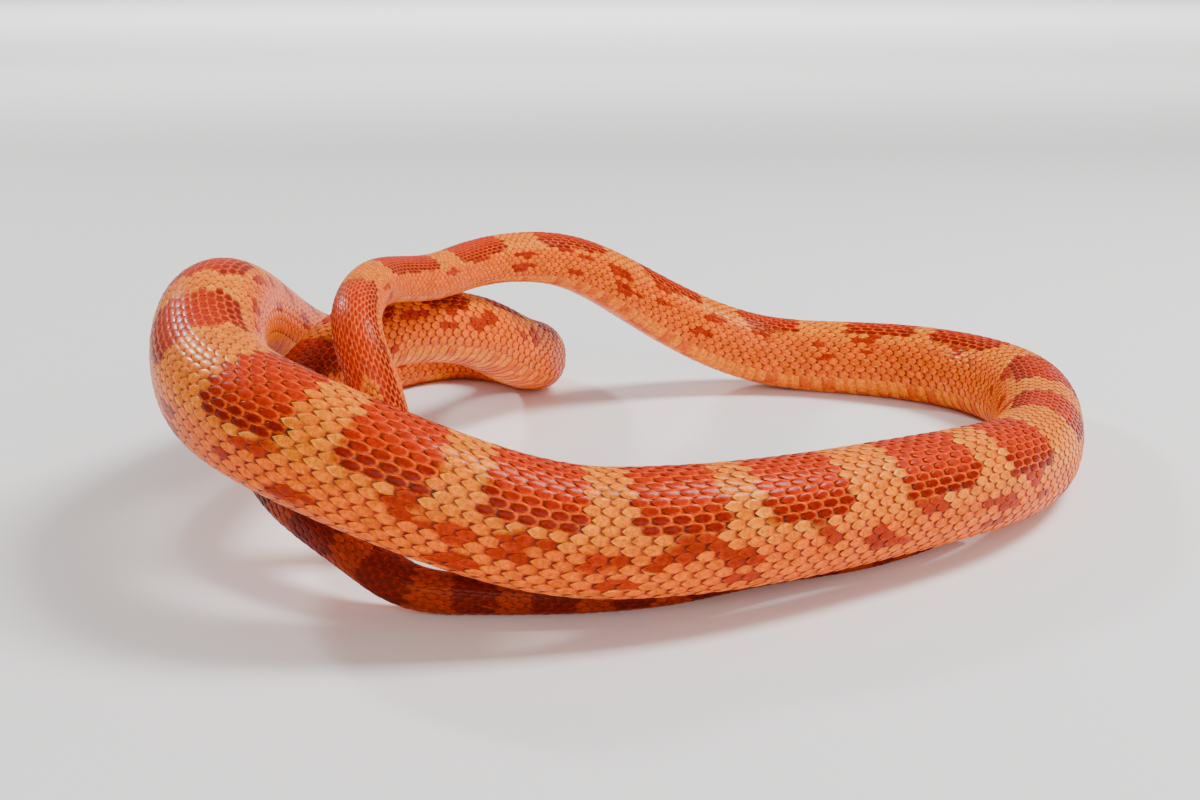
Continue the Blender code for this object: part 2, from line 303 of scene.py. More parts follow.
def along_list(pairs, distance):
    """Values of a short (distance, value) list, straight between its entries."""
    return np.interp(distance, *zip(*pairs))


def between_rows(at, knots, rows):
    """Rows of values, straight between the knots."""
    return np.stack([np.interp(at, knots, column) for column in rows.T], -1)


def smooth(low, high, value):
    t = np.clip((np.asarray(value, float) - low) / (high - low), 0.0, 1.0)
    return t * t * (3.0 - 2.0 * t)


def walked(points):
    """How long the line through the points is, up to each of them."""
    legs = np.linalg.norm(np.diff(points, axis=0), axis=1)
    return np.concatenate([[0.0], np.cumsum(legs)])


class Route:
    """The centre line of the snake, measured from the nose."""

    def __init__(self):
        points = np.array(ROUTE, float)
        points[:, 0] -= CENTRE_X
        points[:, 1] -= CENTRE_Y
        chord = walked(points)
        points[:, 2] += REST_HEIGHT * radius_at(chord)
        fine = np.linspace(0.0, chord[-1], ROUTE_STEPS)
        self.points = natural_spline(chord, points, fine)
        self.distance = walked(self.points)
        self.length = self.distance[-1]
        self.tangents = np.gradient(self.points, self.distance, axis=0)

    def frames(self, distance):
        """Centres, side and back directions at many distances."""
        centre = between_rows(distance, self.distance, self.points)
        along = between_rows(distance, self.distance, self.tangents)
        along /= np.linalg.norm(along, axis=-1, keepdims=True)
        marks, directions = zip(*BACK_DIRECTIONS)
        back = between_rows(distance, marks, np.array(directions))
        back -= along * np.sum(back * along, -1, keepdims=True)
        back /= np.linalg.norm(back, axis=-1, keepdims=True)
        side = np.cross(back, along)
        ends = distance - np.clip(distance, 0.0, self.length)
        return centre + along * ends[..., None], side, back


def even_outline(x, z, count):
    """A half outline from the back to the belly, with its points evenly spread."""
    run = walked(np.stack([x, z], -1))
    at = np.linspace(0.0, run[-1], count)
    return np.interp(at, run, x), np.interp(at, run, z), run[-1]


def body_half():
    """Half of a body ring of radius 1, as (across, up)."""
    upper = np.radians(np.linspace(0.0, 90.0, 60))
    lower = np.radians(np.linspace(90.0, 180.0, 121)[1:])
    power = 2.0 / BELLY_POWER
    x = np.concatenate([np.sin(upper), np.abs(np.sin(lower)) ** power])
    z = np.concatenate([np.cos(upper), -np.abs(np.cos(lower)) ** power])
    x[-1] = 0.0
    return x, z


def head_values(distance):
    """The head's half width, its top and the line of its mouth."""
    rows = np.array(HEAD_SHAPE)
    return natural_spline(rows[:, 0], rows[:, 1:], [distance])[0]


def head_half(distance):
    """Half of a head ring from the crown to the chin, heights from the chin."""
    half_width, top, mouth = head_values(distance)
    crown = np.linspace(0.0, 90.0, 91)
    jaw = np.radians(np.linspace(0.0, 90.0, 61))
    a = np.radians(crown)
    near = math.exp(-((distance - EYE_FROM_NOSE) / BROW_LENGTH) ** 2)
    ridge = np.exp(-((crown - BROW_ANGLE) / BROW_SPREAD) ** 2)
    swell = 1.0 + BROW_HEIGHT * near * ridge / half_width
    x = half_width * np.sin(a) ** (2.0 / CROWN_POWER) * swell
    z = mouth + (top - mouth) * np.abs(np.cos(a)) ** (2.0 / CROWN_POWER) * swell
    jaw_x = LOWER_LIP_WIDTH * half_width * np.abs(np.cos(jaw)) ** (2.0 / JAW_POWER)
    jaw_z = mouth * (1.0 - np.sin(jaw) ** (2.0 / JAW_POWER))
    x = np.concatenate([x, jaw_x])
    z = np.concatenate([z, jaw_z])
    x[-1] = z[-1] = 0.0
    if distance < SNOUT_ROUNDING:
        rounding = math.sqrt(max(1.0 - (1.0 - distance / SNOUT_ROUNDING) ** 2, 0.0))
        middle = 0.5 * (mouth + top)
        x = x * rounding
        z = middle + (z - middle) * rounding
    return x, z


class Surface:
    """The outer surface, by distance from the nose and by the share of the half
    girth from the back: 0 is the back line, 1 or -1 the belly line."""

    def __init__(self, route, count=241):
        self.route = route
        self.stations = np.concatenate([np.arange(0.0, BLEND_END, 0.2),
                                        np.arange(BLEND_END, route.length, 2.0),
                                        [route.length + 3.0]])
        self.count = count
        shape = (len(self.stations), count)
        self.x = np.zeros(shape)
        self.z = np.zeros(shape)
        self.half_girth = np.zeros(len(self.stations))
        self.mouth = np.ones(len(self.stations))
        body_x, body_z, body_run = even_outline(*body_half(), count)
        for i, s in enumerate(self.stations):
            radius = float(radius_at(s))
            x, z, run = body_x * radius, body_z * radius, body_run * radius
            if s < BLEND_END:
                head_x, head_z, head_run = even_outline(*head_half(min(s, HEAD_END)), count)
                _, _, mouth = head_values(min(s, HEAD_END))
                at_mouth = np.argmin(np.abs(head_z[::-1] - mouth))
                self.mouth[i] = 1.0 - at_mouth / (count - 1.0)
                head_z = head_z - REST_HEIGHT * radius
                share = float(smooth(BLEND_START, BLEND_END, s))
                x = head_x + (x - head_x) * share
                z = head_z + (z - head_z) * share
                run = head_run + (run - head_run) * share
            self.x[i], self.z[i], self.half_girth[i] = x, z, run
        dx = np.gradient(self.x, axis=1)
        dz = np.gradient(self.z, axis=1)
        size = np.maximum(np.hypot(dx, dz), 1e-9)
        self.normal_x = -dz / size
        self.normal_z = dx / size
        self.normal_x[:, [0, -1]] = 0.0
        self.normal_z[:, [0, -1]] = 1.0, -1.0

    def girth(self, distance):
        return np.interp(distance, self.stations, self.half_girth)

    def points(self, distance, share, height):
        """Points at a height over the surface; shares may run past the belly line."""
        distance = np.asarray(distance, float)
        share = (np.asarray(share, float) + 1.0) % 2.0 - 1.0
        hand = np.where(share < 0.0, -1.0, 1.0)
        row = np.clip(np.searchsorted(self.stations, distance) - 1, 0, len(self.stations) - 2)
        t = (distance - self.stations[row]) / (self.stations[row + 1] - self.stations[row])
        t = np.clip(t, 0.0, 1.0)
        place = np.abs(share) * (self.count - 1)
        column = np.clip(place.astype(int), 0, self.count - 2)
        v = place - column

        def read(table):
            low = table[row, column] * (1 - v) + table[row, column + 1] * v
            high = table[row + 1, column] * (1 - v) + table[row + 1, column + 1] * v
            return low * (1 - t) + high * t

        centre, side, back = self.route.frames(distance)
        across = hand * (read(self.x) + height * read(self.normal_x))
        up = read(self.z) + height * read(self.normal_z)
        made = centre + side * across[..., None] + back * up[..., None]
        made[..., 2] = np.maximum(made[..., 2], 0.0)
        return made


route = Route()
surface = Surface(route)


def point_on_surface(distance, share, height):
    return surface.points(*(np.array([value]) for value in (distance, share, height)))


def roll_at(distance):
    """How far the coat is turned round the body, as a share of the half girth."""
    return along_list(ROLL, distance) / 180.0


def make_mesh(name, vertices, faces, colours, material, uv=None, crisp=None):
    """A smooth mesh from arrays: faces are rows of equal length, points in millimetres.
    The faces marked as crisp keep a sharp edge with what they meet."""
    mesh = bpy.data.meshes.new(name)
    sides = faces.shape[1]
    mesh.vertices.add(len(vertices))
    mesh.vertices.foreach_set("co", (np.asarray(vertices) * MM).astype(np.float32).ravel())
    mesh.loops.add(faces.size)
    mesh.loops.foreach_set("vertex_index", faces.astype(np.int32).ravel())
    mesh.polygons.add(len(faces))
    mesh.polygons.foreach_set("loop_start", np.arange(0, faces.size, sides, dtype=np.int32))
    smooth_faces = np.ones(len(faces), dtype=bool) if crisp is None else ~crisp
    mesh.polygons.foreach_set("use_smooth", smooth_faces)
    mesh.update(calc_edges=True)
    mesh.validate()
    layer = mesh.color_attributes.new("coat_colour", "FLOAT_COLOR", "POINT")
    full = np.ones((len(vertices), 4), np.float32)
    full[:, :3] = colours
    layer.data.foreach_set("color", full.ravel())
    if uv is not None:
        bake = mesh.uv_layers.new(name="OFBake")
        bake.data.foreach_set("uv", uv[faces.ravel()].astype(np.float32).ravel())
    mesh.materials.append(material)
    piece = bpy.data.objects.new(name, mesh)
    bpy.context.scene.collection.objects.link(piece)
    return piece


def scale_pattern():
    """One scale: points (along, across, lift, ring), its triangles, and which of
    them are the cut edge."""
    other_side = [(a, -b) for a, b in SCALE_SIDE[::-1]]
    outline = np.array([(SCALE_TIP, 0.0)] + SCALE_SIDE + other_side)
    count = len(outline)
    points = [(SCALE_MIDDLE, 0.0, DOME, 0.0)]
    for ring in SCALE_RINGS:
        spread = min(ring, 0.98) if ring == EDGE else ring
        lift = -EDGE_DROP if ring == EDGE else DOME * (1.0 - ring ** 2.4)
        points += [(SCALE_MIDDLE + (a - SCALE_MIDDLE) * spread, b * spread, lift, ring)
                   for a, b in outline]
    faces = [(0, 1 + k, 1 + (k + 1) % count) for k in range(count)]
    for n in range(len(SCALE_RINGS) - 1):
        low, high = 1 + n * count, 1 + (n + 1) * count
        for k in range(count):
            k2 = (k + 1) % count
            faces.append((low + k, high + k, high + k2))
            faces.append((low + k, high + k2, low + k2))
    cut = np.arange(len(faces)) >= len(faces) - 2 * count
    return np.array(points), np.array(faces), cut


def column_distances(shift):
    """Distances of the columns of scales, a pitch apart. The shift is in pitches."""
    fine = np.linspace(FIRST_COLUMN, route.length, 20000)
    scales = np.cumsum(np.diff(fine) / along_list(SCALE_PITCH, fine[:-1]))
    count = np.concatenate([[0.0], scales])
    numbers = np.arange(math.ceil(count[-1])) + shift
    return np.interp(numbers[numbers < count[-1] - LAST_COLUMN], count, fine)


def row_width(row):
    """Rows are about even, the last ones over the belly a little wider."""
    return 0.95 + 0.35 * (np.abs(row) / SIDE_ROWS) ** 6


def row_weights(distance):
    """Width of each row as a share, from -SIDE_ROWS to SIDE_ROWS, at each distance."""
    rows = np.arange(-SIDE_ROWS, SIDE_ROWS + 1)
    weights = np.ones((len(distance), 1)) * row_width(rows)
    for row, end in ROW_ENDS.items():
        fading = smooth(0.0, ROW_FADE, end - distance)
        weights[:, SIDE_ROWS + row] *= fading
        weights[:, SIDE_ROWS - row] *= fading
    return rows, weights


def coat_start(share):
    return along_list(COAT_START, np.abs(share))


def lay_scales():
    """Every scale's distance, share, width, and how far its row has thinned."""
    made = []
    for parity in (0.0, 0.5):
        distance = column_distances(parity)
        rows, weights = row_weights(distance)
        spans = weights / weights.sum(axis=1, keepdims=True) * 2.0 * BELLY_EDGE
        starts = np.cumsum(spans, axis=1) - spans - BELLY_EDGE
        for k, row in enumerate(rows):
            if (abs(row) % 2) * 0.5 != parity:
                continue
            left = weights[:, k] / row_width(row)
            keep = left > THINNEST_ROW
            made.append(np.stack([distance[keep], (starts + spans / 2)[keep, k],
                                  spans[keep, k], left[keep]], -1))
    laid = np.concatenate(made)
    return laid[np.argsort(laid[:, 0], kind="stable")]


def nearest_mark(distance, centres):
    """The number of the nearest centre, for distances of any shape."""
    middles = 0.5 * (centres[1:] + centres[:-1])
    return np.searchsorted(middles, distance)


def saddle_measure(distance, share):
    """How far from the middle of a saddle a place is: under 1 is inside. Then the
    same along and around alone."""
    nearest = nearest_mark(distance, SADDLE_MIDDLES)
    width = along_list(SADDLE_WIDTH, SADDLE_MIDDLES)[nearest]
    around = np.abs(share) / width
    reach = SADDLE_HALVES[nearest] * (1.02 + 0.08 * np.clip(around, 0, 1) ** 2)
    along = (distance - SADDLE_MIDDLES[nearest]) / reach
    measure = (np.abs(along) ** 6 + around ** 6) ** (1.0 / 6.0)
    return measure, along, around


def blotch_measures(distance, share):
    """How far from the middle of a flank blotch a place is: under 1 is inside."""
    gaps = 0.5 * (SADDLE_MIDDLES[1:] + SADDLE_MIDDLES[:-1])
    made = []
    for where, level, long, high, stray, keep in BLOTCHES:
        middles = SADDLE_MIDDLES if where == "saddle" else gaps
        near = nearest_mark(distance, middles)
        for hand in (-1, 1):
            shift = rng.normal(0.0, stray, (len(middles), 2))
            size = rng.uniform(0.75, 1.25, (len(middles), 2))
            there = rng.random(len(middles)) < keep
            along = (distance - middles[near] - 5.0 * shift[near, 0]) / (long * size[near, 0])
            around = (hand * share - level - 0.05 * shift[near, 1]) / (high * size[near, 1])
            measure = np.hypot(along, around) + 0.25 * np.sin(2.3 * along + 3.0 * around + near)
            made.append(np.where(there[near], measure, 9.0))
    return np.min(made, axis=0)


def mixed(a, b, t):
    t = np.asarray(t)[..., None]
    return np.asarray(a) * (1.0 - t) + np.asarray(b) * t


def neck_marks(distance, share):
    """How far inside the nape's mark a place is: two arms from the first saddle
    forward to the crown."""
    inside = np.minimum(np.abs(share) - along_list(NAPE_INNER, distance),
                        along_list(NAPE_OUTER, distance) - np.abs(share))
    return np.where(distance < NAPE_END, inside, -1.0)


def scale_colours(distance, share, spread, along, across, ring):
    """The colour of every point of every scale: rows are scales, columns their points."""
    total = len(distance)
    jitter = rng.normal(0.0, 1.0, (total, 1))
    pick = rng.random((total, 1))
    pitch = along_list(SCALE_PITCH, distance)
    s = distance[:, None] + PATTERN_BLUR * along * pitch[:, None]
    f = share[:, None] + PATTERN_BLUR * across * spread[:, None]
    measure, saddle_along, around = saddle_measure(s, f)
    arms = neck_marks(s, f)
    nape = s < NAPE_END
    measure = np.where(nape & (arms > 0.0), np.minimum(measure, 0.8), measure)
    measure = np.where(nape & (arms <= 0.0) & (np.abs(f) < 0.3), 1.4, measure)
    measure = measure + 0.025 * jitter
    inside = smooth(1.03, 0.97, measure)
    rim_ring = smooth(0.55, 0.95, ring)
    uncovered = along - along_list(HIDDEN_EDGE, np.abs(across))
    # Painted shadow: the band where a scale comes out from under the tip in front, which that
    # tip would shade.
    tip_shadow_band = smooth(0.19, 0.06, uncovered) * smooth(0.66, 0.42, np.abs(across))
    margin = smooth(0.82, 1.06, np.hypot((along - 0.16) / 0.46, across / 0.86))

    flank = smooth(0.30, 0.42, np.abs(f))
    middle = mixed(GROUND, FLANK, flank)
    rim = mixed(GROUND_RIM, FLANK_RIM, flank)
    near = smooth(1.45, 1.05, measure) * (1.0 - flank)
    rim = mixed(rim, CREAM, near * np.where(pick < 0.35, 0.90, 0.12))
    middle = mixed(middle, GROUND_RIM, 0.6 * near * np.clip(jitter, 0.0, 1.0))
    under = smooth(0.64, 0.78, np.abs(f))
    middle = mixed(middle, BELLY, 0.35 * under)
    rim = mixed(rim, BELLY, 0.4 * under)
    side = np.sign(pick - 0.5) * across
    rear = (side > 0.45) & (ring > 0.6) & (along > -0.2)
    fleck = (pick * 7.0 % 1.0 > 0.93) & rear
    rim = mixed(rim, CREAM, 0.85 * fleck * flank * (np.abs(f) > 0.44))
    ground = mixed(middle, rim, rim_ring)
    # Painted shade: each scale darker and redder towards its covered root.
    front = smooth(0.55, 0.05, uncovered)[..., None]
    ground = ground * (1.0 - front * (0.16, 0.34, 0.34))
    # Painted shadow: a dark line along the covered edge, and under the tips.
    painted_edge_shade = smooth(0.12, 0.0, uncovered) * (0.30 + 0.20 * flank)
    ground = mixed(ground, FLANK_PAINTED_SHADE, np.maximum(painted_edge_shade, tip_shadow_band * (0.65 + 0.35 * pick)))

    blotch = smooth(1.08, 0.92, blotch_measures(s, f) + 0.10 * jitter)
    blotch = blotch * (s < LAST_BLOTCH)
    ground = mixed(ground, mixed(BLOTCH, BLOTCH_RIM, rim_ring), blotch * (1.0 - inside))
    # Dark tip lines on blotch scales: partly the blotches' black border, partly painted shadow
    # under the tips.
    edge = blotch * (1.0 - inside) * (pick < 0.6) * tip_shadow_band
    ground = mixed(ground, SHADE_AND_BLACK_EDGE, 0.8 * edge)

    deep = smooth(0.35, 0.80, around)
    ends = smooth(0.60, 0.90, np.abs(saddle_along)) * smooth(0.3, 0.6, around)
    heart = mixed(SADDLE_RED, SADDLE_DARK, np.maximum(deep * 0.85, ends * 0.8) + 0.08 * jitter)
    net = mixed(SADDLE_NET, SADDLE_RIM, np.maximum(deep, ends))
    start, full, fading, end = NECK_STRETCH
    stretched = smooth(end, fading, s) * smooth(start, full, s)
    net = mixed(net, NECK_DASH, stretched * smooth(0.30, 0.60, np.abs(across)))
    saddle = mixed(heart, net, margin)
    # Painted shadow under the tips in front, on the saddles' scales.
    saddle = mixed(saddle, SADDLE_PAINTED_SHADOW, 0.9 * tip_shadow_band * (1.0 - stretched))
    corner = smooth(0.78, 0.95, measure) * smooth(0.45, 0.75, around) * (pick < 0.65)
    front_part = np.maximum(smooth(0.30, 0.05, uncovered), 0.08)
    saddle = mixed(saddle, SHADE_AND_BLACK_EDGE, 0.9 * corner * front_part)
    colour = mixed(ground, saddle, inside)

    # The tail's darker colours: its own bands, darkened as painted shade for the tail lying
    # under the coil.
    shaded_tail_colour = mixed(SHADED_TAIL_ORANGE, mixed(SHADED_TAIL_RED, SHADED_TAIL_RIM, margin), inside)
    # Painted shadow where each tail scale comes out from under the tip in front.
    shaded_tail_colour = mixed(shaded_tail_colour, SHADE_AND_BLACK_EDGE, 0.6 * smooth(0.14, 0.0, uncovered))
    colour = mixed(colour, shaded_tail_colour, smooth(*SHADED_TAIL_COLOURS, s))
    # Painted shade on the turned down edge walls of the scales.
    shaded_edge_wall = np.where(ring > 1.1, 1.0, 0.0)
    colour = mixed(colour, mixed(FLANK_PAINTED_SHADE, SHADE_AND_BLACK_EDGE, inside), 0.85 * shaded_edge_wall)
    return np.clip(colour * (1.0 + 0.07 * jitter)[..., None], 0.0, 1.0)


def build_scales(material):
    """All small scales, in one piece for each length of the body."""
    pattern, triangles, cut = scale_pattern()
    laid = lay_scales()
    laid = laid[laid[:, 0] > coat_start(laid[:, 1] + roll_at(laid[:, 0]))]
    distance, share, span, fade = laid.T
    pitch = along_list(SCALE_PITCH, distance)
    size = pitch / FULL_PITCH
    tilt = 1.0 + 0.10 * rng.normal(0.0, 1.0, len(distance))
    turn = 0.02 * rng.normal(0.0, 1.0, len(distance))

    along, across, lift, ring = pattern.T
    s = distance[:, None] + along * pitch[:, None]
    width = SCALE_WIDTH * span * np.minimum(1.0, 0.55 + 0.45 * fade)
    f = share[:, None] + (across + turn[:, None] * along) * width[:, None]
    rise = np.clip((along - SCALE_ROOT) / SCALE_REACH, 0, 1) * tilt[:, None]
    height = -ROOT_DEPTH + (ROOT_DEPTH - TIP_DEPTH) * rise + lift
    height = height * size[:, None]
    points = surface.points(s, f + roll_at(s), height)
    colour = scale_colours(distance, share, width, along, across, ring)

    pieces = []
    map_width = 1.0 - 2.0 * MAP_MARGIN
    for n, (start, end) in enumerate(zip(PIECE_LIMITS, PIECE_LIMITS[1:])):
        here = (distance >= start) & (distance < end)
        total = here.sum()
        faces = triangles[None] + np.arange(total)[:, None, None] * len(pattern)
        u = MAP_MARGIN + map_width * (distance[here] - start) / (end - start)
        turned = (share[here] + roll_at(distance[here]) + 1.0) % 2.0
        v = MAP_MARGIN + map_width * turned / 2.0
        uv = np.stack([u[:, None] + along * PATCH_ALONG,
                       v[:, None] + across * PATCH_ACROSS], -1)
        pieces.append(make_mesh(
            "scales_%02d" % n, points[here].reshape(-1, 3), faces.reshape(-1, 3),
            colour[here].reshape(-1, 3), material, uv.reshape(-1, 2), np.tile(cut, total)))
    return pieces


def build_belly(material):
    """The wide belly plates, one for each column of scales, paired under the tail."""
    distance = column_distances(0.5)
    distance = distance[distance < route.length - 1.0]
    steps = PLATE_STEPS
    along, across = np.meshgrid(PLATE_ALONG, np.linspace(-1.0, 1.0, steps), indexing="ij")
    along = along - 0.25 * np.abs(across) ** 8 * np.sign(np.maximum(along, 0.0))
    along, across = along.ravel(), across.ravel()
    lift = np.repeat(PLATE_LIFT, steps)
    corners = np.arange(len(along)).reshape(-1, steps)[:-1, :-1].reshape(-1, 1)
    faces = corners + [0, steps, steps + 1, 1]
    pitch = along_list(SCALE_PITCH, distance)
    size = (pitch / FULL_PITCH)[:, None]
    s = distance[:, None] + along * pitch[:, None]
    f = 1.0 + across * (1.0 - BELLY_EDGE + PLATE_OVERLAP)
    rise = np.clip((along - SCALE_ROOT) / SCALE_REACH, 0, 1)
    height = (-ROOT_DEPTH + (ROOT_DEPTH - TIP_DEPTH) * rise + lift) * size
    height = height - 0.25 * (np.abs(across) ** 6) * size
    paired = (distance > VENT)[:, None] & (np.abs(across) < 0.02)
    height = np.where(paired, height - 0.2 * size, height)
    points = surface.points(s, f + roll_at(s), height)
    check = (rng.random((len(distance), 4)) < PLATE_CHECKS).astype(float)
    patch = np.clip(((across + 1.0) * 2.0).astype(int), 0, 3)
    check = check[:, patch] * smooth(0.98, 0.8, np.abs(across))
    colour = mixed(BELLY, BELLY_CHECK, 0.8 * check)
    colour = mixed(colour, UNDER_SKIN, smooth(-0.1, -0.5, along) * 0.5)
    total = len(distance)
    all_faces = (faces[None] + np.arange(total)[:, None, None] * len(along)).reshape(-1, 4)
    u = MAP_MARGIN + (1.0 - 2.0 * MAP_MARGIN) * distance / route.length
    v = 0.5 + 0.2 * across * np.ones((total, 1))
    uv = np.stack([u[:, None] + along * PLATE_PATCH, v], -1)
    cut = np.tile(np.arange(len(faces)) >= len(faces) - (steps - 1), total)
    return make_mesh("belly_plates", points.reshape(-1, 3), all_faces,
                     colour.reshape(-1, 3), material, uv.reshape(-1, 2), cut)


# Seams between the head's plates, on one side: (distance, share of the way from
# the crown to the line of the mouth). 1 is the mouth, more is the lower jaw.
HEAD_SEAMS = [
    [(1.00, 0.0), (0.80, 0.22), (0.50, 0.50), (0.40, 0.75), (0.42, 1.0)],
    [(1.00, 0.0), (7.2, 0.0)],
    [(14.6, 0.0), (21.8, 0.0)],
    [(3.6, 0.0), (3.9, 0.14), (3.9, 0.28), (3.5, 0.40)],
    [(0.75, 0.27), (1.9, 0.33), (3.5, 0.40), (4.3, 0.46), (6.9, 0.50)],
    [(7.2, 0.0), (7.5, 0.12), (7.5, 0.22), (7.2, 0.36), (6.9, 0.50)],
    [(7.5, 0.22), (10.0, 0.19), (12.6, 0.17)],
    [(12.6, 0.17), (13.6, 0.09), (14.6, 0.0)],
    [(12.6, 0.17), (13.0, 0.28), (13.0, 0.38), (12.3, 0.48)],
    [(13.0, 0.38), (14.5, 0.44), (17.5, 0.42), (20.4, 0.30), (21.7, 0.14), (21.8, 0.0)],
    [(0.42, 0.80), (1.8, 0.78), (4.2, 0.79), (6.5, 0.80), (7.9, 0.81)],
    [(11.2, 0.80), (12.8, 0.77), (16.0, 0.74), (19.6, 0.74), (22.5, 0.76)],
    [(2.3, 0.36), (2.2, 0.62), (2.4, 0.78)],
    [(4.0, 0.44), (4.3, 0.60), (4.2, 0.79)],
    [(6.0, 0.49), (6.3, 0.64), (6.1, 0.79)],
    [(12.5, 0.46), (13.6, 0.60), (13.1, 0.77)],
    [(11.2, 0.65), (13.6, 0.62)],
    [(13.6, 0.60), (15.2, 0.58), (16.8, 0.59), (20.9, 0.54)],
    [(16.6, 0.43), (17.0, 0.59), (16.8, 0.74)],
    [(19.9, 0.33), (20.9, 0.54), (20.6, 0.74)],
]
UPPER_LIP_SEAMS = (2.6, 4.4, 6.4, 8.6, 10.8, 13.3, 16.2, 19.4, 22.4)
LOWER_LIP_SEAMS = (0.5, 1.9, 3.5, 5.2, 7.2, 9.4, 11.8, 14.4, 17.2, 20.2)
LIP_TOP = 0.79
JAW_EDGE = 1.17
SEAM_WIDTH = 0.13
SEAM_DEPTH = 0.13
PLATE_DOME = 0.07         # the middle of a plate stands this much over its edges
PLATE_REACH = 0.8


def seam_lines():
    lines = list(HEAD_SEAMS)
    lines += [[(s, LIP_TOP), (s - 0.12, 0.9), (s, 1.0)] for s in UPPER_LIP_SEAMS]
    lines += [[(s, 1.0), (s + 0.3, JAW_EDGE)] for s in LOWER_LIP_SEAMS]
    lines.append([(0.7, JAW_EDGE), (11.0, JAW_EDGE), (22.0, JAW_EDGE)])
    lines.append([(2.0, JAW_EDGE), (3.0, 1.36), (7.6, 1.38), (12.5, 1.40), (14.0, 1.6)])
    return lines


def seam_tree():
    """Every point of the head's seams, on both sides, for measuring distances."""
    made = []
    for line in seam_lines():
        line = np.array(line)
        knots = np.arange(len(line))
        at = np.linspace(0.0, knots[-1], 1 + int(160 * knots[-1]))
        curve = natural_spline(knots, line, at)
        share = curve[:, 1] * np.interp(curve[:, 0], surface.stations, surface.mouth)
        for hand in (1.0, -1.0):
            made.append(surface.points(curve[:, 0], share * hand, np.zeros(len(at))))
    made = np.concatenate(made)
    tree = KDTree(len(made))
    for n, point in enumerate(made):
        tree.insert(point, n)
    tree.balance()
    return tree


SEAMS = seam_tree()


def seam_distance(points):
    """Distance in millimetres from each place to the nearest seam."""
    return np.array([SEAMS.find(point)[2] for point in points])


EYES = ("eye_left", "eye_right")


def eye_middle(name):
    low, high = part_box(name)
    return np.array((low + high) / 2.0) / MM, float(max(high - low)) / 2.0 / MM


def head_colours(distance, share, across, seam):
    """The head's markings: a red spear mark over an orange head, pale lips."""
    arms = neck_marks(distance, share)
    on_arm = smooth(-0.02, 0.03, arms) * smooth(7.0, 9.0, distance)
    colour = mixed(HEAD_ORANGE, SADDLE_RED, on_arm)
    spear = smooth(0.9, 0.6, np.hypot((distance - 9.5) / 4.6, np.abs(share) / 0.16))
    colour = mixed(colour, SADDLE_RED, spear)
    bar = smooth(1.0, 0.6, np.abs(distance - 5.6) / 1.3) * smooth(0.42, 0.30, np.abs(across))
    colour = mixed(colour, SADDLE_RED, 0.7 * bar)
    edge = smooth(0.028, 0.0, np.abs(arms)) * smooth(9.0, 12.0, distance)
    colour = mixed(colour, SADDLE_DARK, 0.65 * edge)
    off_stripe = np.abs(across - along_list(HEAD_STRIPE, distance)) / STRIPE_WIDTH
    stripe = smooth(1.0, 0.55, off_stripe) * smooth(11.0, 12.5, distance)
    colour = mixed(colour, SADDLE_RED, stripe)
    rim = smooth(0.35, 0.0, np.abs(off_stripe - 0.95))
    colour = mixed(colour, SADDLE_DARK, 0.5 * rim * smooth(11.5, 13.0, distance))
    lips = smooth(0.76, 0.82, across) * smooth(1.24, 1.16, across) * (1 - stripe)
    colour = mixed(colour, LIP_CREAM, 0.75 * lips)
    chin = smooth(1.16, 1.3, across)
    colour = mixed(colour, BELLY, chin)
    return mixed(colour, SHADE_AND_BLACK_EDGE, 0.5 * np.exp(-(seam / SEAM_WIDTH) ** 2))


